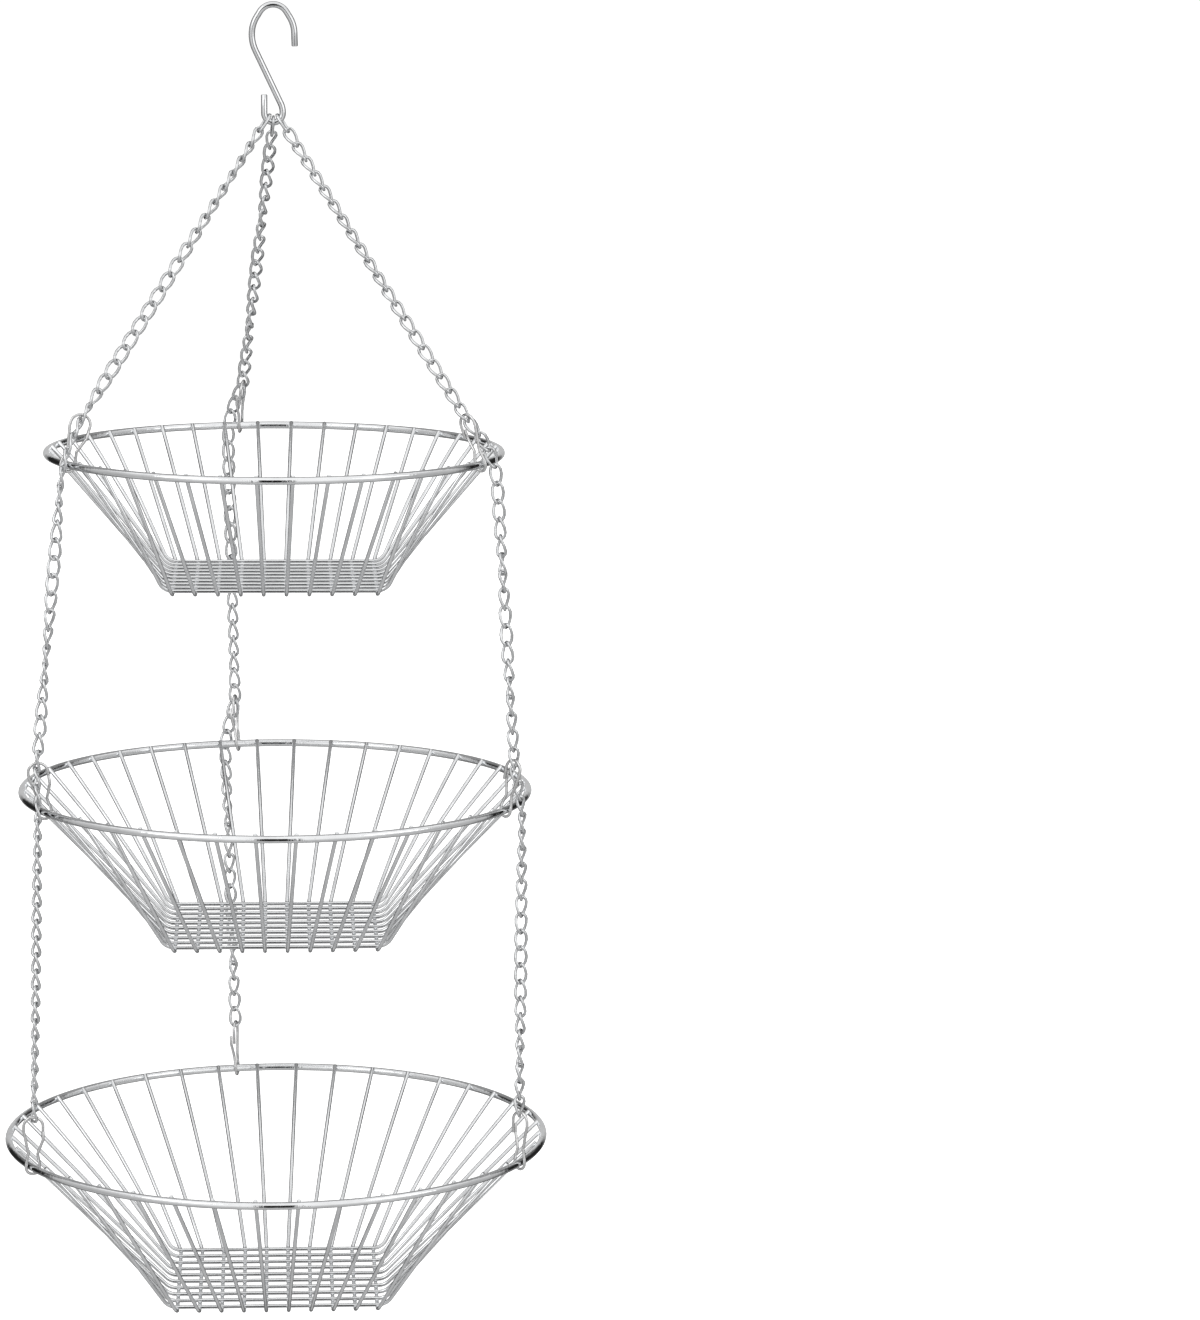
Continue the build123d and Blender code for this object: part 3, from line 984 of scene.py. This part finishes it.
class OBJECT_OT_basket_hook(bpy.types.Operator):
    """Make the S-hook"""

    bl_idname = "object.basket_hook"
    bl_label = "S-hook"

    def execute(self, context):
        wires = context.scene.basket_wires
        hook = context.scene.basket_hook
        foot_radius, _, _ = hook_foot()
        top = wires.hook / 2
        corners = [
            (hook.tip_reach, -hook.tip_drop),
            (hook.shoulder_reach, -hook.shoulder_drop),
            (hook.crown_half_width, top),
            (-hook.crown_half_width, top),
            (-hook.shoulder_reach, -hook.shoulder_drop),
            (-hook.back_reach, -hook.back_drop),
            (foot_radius, -hook.shank_foot_drop),
            (foot_radius, -hook.foot_drop),
            (-foot_radius, -hook.foot_drop),
            (-foot_radius, -hook.end_drop),
        ]
        crown, shoulder = hook.crown_bend, hook.shoulder_bend
        bends = [shoulder, crown, crown, shoulder, hook.back_bend, hook.shank_bend, foot_radius, foot_radius]
        path = cut_wire([Vector((x, 0, z)) for x, z in corners], bends, HOOK_CHAMFER)
        finish = plated("hook_plating", tone=0.95, roughness=0.02, speck_share=0.35)
        settle(wire_piece("round_s_hook", [path], wires.hook, finish), "hook", "hook", "hook")
        return {"FINISHED"}


class OBJECT_OT_basket_chains(bpy.types.Operator):
    """Make the links of the nine spans of chain"""

    bl_idname = "object.basket_chains"
    bl_label = "Chains"

    def execute(self, context):
        wires = context.scene.basket_wires
        chain = context.scene.basket_chains
        finish = plated("chain_plating", tone=0.9, roughness=-0.02, cloud_scale=120.0)
        tree = tree_named("Twisted links", link_tree)
        common = {
            "Wire": wires.chain,
            "Faces round": chain.around,
            "Steps along": chain.along,
            "Material": finish,
        }
        shapes = {
            "links": {"Width": chain.width, "Twist": chain.twist, "Fullness": chain.fullness},
            "hook_link": {"Width": chain.end_width, "Twist": 0.0, "Fullness": chain.end_fullness},
        }
        for span in SPANS:
            for side in SIDES:
                node = f"{span}_{side}_chain"
                for label, links in wound_links(node).items():
                    places, turns, lengths = zip(*links)
                    halves = [(length - wires.chain) / 2 for length in lengths]
                    mesh = point_mesh(f"{node}_{label}", places, turns, halves)
                    piece = baked(f"{node}_{label}", mesh, tree, {**common, **shapes[label]})
                    settle(piece, SPAN_BODIES[span], "chains", node)
                    self.slacken(piece, span)
        return {"FINISHED"}

    def slacken(self, piece, span):
        """Gives the piece a mesh of its own."""
        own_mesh(piece)


class OBJECT_OT_basket_clips(bpy.types.Operator):
    """Make the nine spring clips"""

    bl_idname = "object.basket_clips"
    bl_label = "Clips"

    def execute(self, context):
        wires = context.scene.basket_wires
        finish = plated("clip_plating", tone=0.92, roughness=0.03, speck_share=0.35, warmth=0.01)
        for side in SIDES:
            for tier, place in zip(TIERS, clip_frames(side)):
                piece = wire_piece(f"{tier}_{side}_round_clip", [clip_path(*place)], wires.clip, finish)
                settle(piece, TIER_BODIES[tier], "clips", f"{tier}_{side}_clip")
        return {"FINISHED"}


class OBJECT_OT_basket_stage(bpy.types.Operator):
    """Make the pale floor and backdrop, the lights and the camera"""

    bl_idname = "object.basket_stage"
    bl_label = "Stage"

    def execute(self, context):
        studio = context.scene.basket_studio
        self.ground(context, studio)
        self.surroundings(context)
        for name, lamp in LAMPS.items():
            self.light(context, name, **lamp)
        context.scene.view_settings.view_transform = "Standard"
        self.camera(context, studio)
        return {"FINISHED"}

    def ground(self, context, studio):
        """A round pale floor, far enough below for the basket to hang free."""
        disc = bmesh.new()
        bmesh.ops.create_circle(disc, cap_ends=True, segments=96, radius=studio.floor_radius)
        bmesh.ops.translate(disc, verts=disc.verts, vec=(0, 0, -studio.floor_drop))
        mesh = bpy.data.meshes.new("floor")
        disc.to_mesh(mesh)
        disc.free()
        floor = bpy.data.objects.new("floor", mesh)
        floor.visible_glossy = False
        context.scene.collection.objects.link(floor)
        paper = bpy.data.materials.new("floor_paper")
        paper.use_nodes = True
        looks = {
            "Base Color": (*studio.floor, 1),
            "Roughness": 0.9,
            "Emission Color": (1, 1, 1, 1),
            "Emission Strength": studio.floor_glow,
        }
        for socket, value in looks.items():
            feed(paper.node_tree, paper.node_tree.nodes["Principled BSDF"], socket, value)
        mesh.materials.append(paper)

    def surroundings(self, context):
        """Air that is white to the camera. In the chrome it is pale, with a dark ring and a dark card."""
        world = bpy.data.worlds.new("studio_air")
        context.scene.world = world
        world.use_nodes = True
        tree = world.node_tree
        way = node_in(tree, "ShaderNodeTexCoord", (-8, 0)).outputs["Generated"]
        axes = dict(node_in(tree, "ShaderNodeSeparateXYZ", (-7, 0), {0: way}).outputs.items())
        axes["aside"] = math_of(tree, (-6, 2), "ABSOLUTE", axes["X"])
        part = {
            name: ranged(tree, (-5, row), axes[axis], *change)
            for row, (name, (axis, *change)) in enumerate(AIR_PARTS.items())
        }
        pale = math_of(tree, (-4, 0), "MULTIPLY", part["rising"], part["backdrop"])
        in_ring = math_of(tree, (-4, 3), "MULTIPLY", part["ring_start"], part["ring_end"])
        ring_tone = math_of(tree, (-4, 5), "MAXIMUM", part["low_ring"], part["high_ring"])
        ring = ranged(tree, (-3, 4), in_ring, 0.0, 1.0, 1.0, ring_tone)
        off_card = math_of(tree, (-4, 7), "MAXIMUM", part["above_card"], part["below_card"])
        off_card = math_of(tree, (-4, 6), "MAXIMUM", part["beside_card"], off_card)
        off_card = math_of(tree, (-3, 6), "MAXIMUM", off_card, part["behind_card"])
        card = ranged(tree, (-2, 6), off_card, 0.0, 1.0, CARD_TONE, 1.0)
        mirrored = pale
        for row, shade in enumerate((part["sides"], ring, card)):
            mirrored = math_of(tree, (-2, row), "MULTIPLY", mirrored, shade)
        seen = node_in(tree, "ShaderNodeLightPath", (-3, -2)).outputs["Is Camera Ray"]
        seen = math_of(tree, (-2, -2), "MULTIPLY", seen, AIR_TO_CAMERA)
        air = tree.nodes["Background"]
        feed(tree, air, "Color", (1, 1, 1, 1))
        feed(tree, air, "Strength", math_of(tree, (-1, 0), "MAXIMUM", mirrored, seen))

    def light(self, context, name, place, size, power):
        """A large soft light that faces the middle of the basket."""
        data = bpy.data.lights.new(name, "AREA")
        data.shape = "DISK"
        data.size = size
        data.energy = power
        lamp = bpy.data.objects.new(name, data)
        lamp.location = place
        aim = Vector(LAMP_AIM) - Vector(place)
        lamp.rotation_euler = aim.to_track_quat("-Z", "Y").to_euler()
        context.scene.collection.objects.link(lamp)

    def camera(self, context, studio):
        """The camera of the photograph."""
        data = bpy.data.cameras.new("camera")
        data.lens = studio.lens
        data.sensor_width = studio.sensor
        camera = bpy.data.objects.new("camera", data)
        yaw, pitch, roll = studio.camera_yaw, studio.camera_pitch, studio.camera_roll
        ahead = Vector((math.sin(yaw) * math.cos(pitch), math.cos(yaw) * math.cos(pitch), -math.sin(pitch)))
        level = Vector((math.cos(yaw), -math.sin(yaw), 0))
        above = level.cross(ahead)
        right = level * math.cos(roll) + above * math.sin(roll)
        over = above * math.cos(roll) - level * math.sin(roll)
        place = Matrix.Translation(studio.camera_place)
        camera.matrix_world = place @ frame_of(right, over, -ahead).to_4x4()
        context.scene.collection.objects.link(camera)
        context.scene.camera = camera


class VIEW3D_PT_fruit_basket(bpy.types.Panel):
    """Sizes, colours and steps of the hanging fruit basket"""

    bl_label = "Fruit basket"
    bl_idname = "VIEW3D_PT_fruit_basket"
    bl_space_type = "VIEW_3D"
    bl_region_type = "UI"
    bl_category = "Fruit basket"

    def draw(self, context):
        for name in SETTINGS:
            group = getattr(context.scene, name)
            box = self.layout.box()
            for key in group.__annotations__:
                box.prop(group, key)
        for operator in OPERATORS:
            self.layout.operator(operator.bl_idname)


SETTINGS = {
    "basket_wires": WireSizes,
    "basket_sizes": BasketSizes,
    "basket_hook": HookSizes,
    "basket_chains": ChainSizes,
    "basket_clips": ClipSizes,
    "basket_plating": PlatingColours,
    "basket_studio": StudioSettings,
}
OPERATORS = (
    OBJECT_OT_basket_rims,
    OBJECT_OT_basket_wires,
    OBJECT_OT_basket_hook,
    OBJECT_OT_basket_chains,
    OBJECT_OT_basket_clips,
    OBJECT_OT_basket_stage,
)


def register():
    """Adds the settings, the steps and the panel."""
    for group in SETTINGS.values():
        bpy.utils.register_class(group)
    for name, group in SETTINGS.items():
        setattr(bpy.types.Scene, name, PointerProperty(type=group))
    for operator in (*OPERATORS, VIEW3D_PT_fruit_basket):
        bpy.utils.register_class(operator)


def unregister():
    """Takes the panel, the steps and the settings away."""
    for operator in (VIEW3D_PT_fruit_basket, *OPERATORS[::-1]):
        bpy.utils.unregister_class(operator)
    for name in SETTINGS:
        delattr(bpy.types.Scene, name)
    for group in SETTINGS.values():
        bpy.utils.unregister_class(group)


def main():
    """Makes every piece and the stage."""
    register()
    bpy.ops.object.basket_rims()
    bpy.ops.object.basket_wires()
    bpy.ops.object.basket_hook()
    bpy.ops.object.basket_chains()
    bpy.ops.object.basket_clips()
    bpy.ops.object.basket_stage()


if __name__ == "__main__":
    main()
